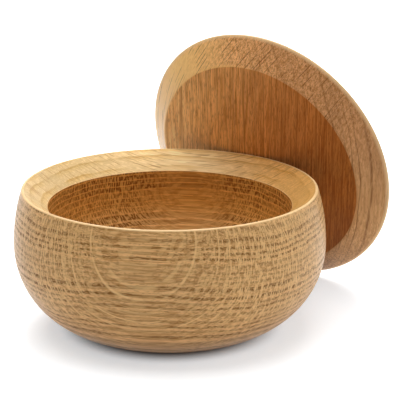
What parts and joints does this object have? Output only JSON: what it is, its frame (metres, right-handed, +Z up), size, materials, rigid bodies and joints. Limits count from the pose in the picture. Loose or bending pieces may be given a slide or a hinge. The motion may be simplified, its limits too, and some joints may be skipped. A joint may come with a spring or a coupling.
{
  "type": "lidded bowl",
  "caption": "Squat round turned wooden bowl with a conical seat at its rim and a loose plug lid, shown open with the lid leaning on the bowl.",
  "frame": {"origin": "middle of the bowl's flat base, on the floor", "axes": "+Z up along the bowl's axis, the viewer on the -Y side, the lid behind and to the right"},
  "size_m": [0.1839, 0.1836, 0.1326],
  "materials": {
    "bowl_oak": "oiled satin, fine open grain",
    "lid_oak": "oiled satin, fine open grain"
  },
  "bodies": {
    "bowl": {"bowl": "bowl_oak"},
    "lid": {"lid": "lid_oak"}
  },
  "joints": [
    {"name": "lid_lift", "type": "slide", "parent": "bowl", "child": "lid", "axis": [0, 0, 1], "range_m": [0, 0.12]}
  ]
}
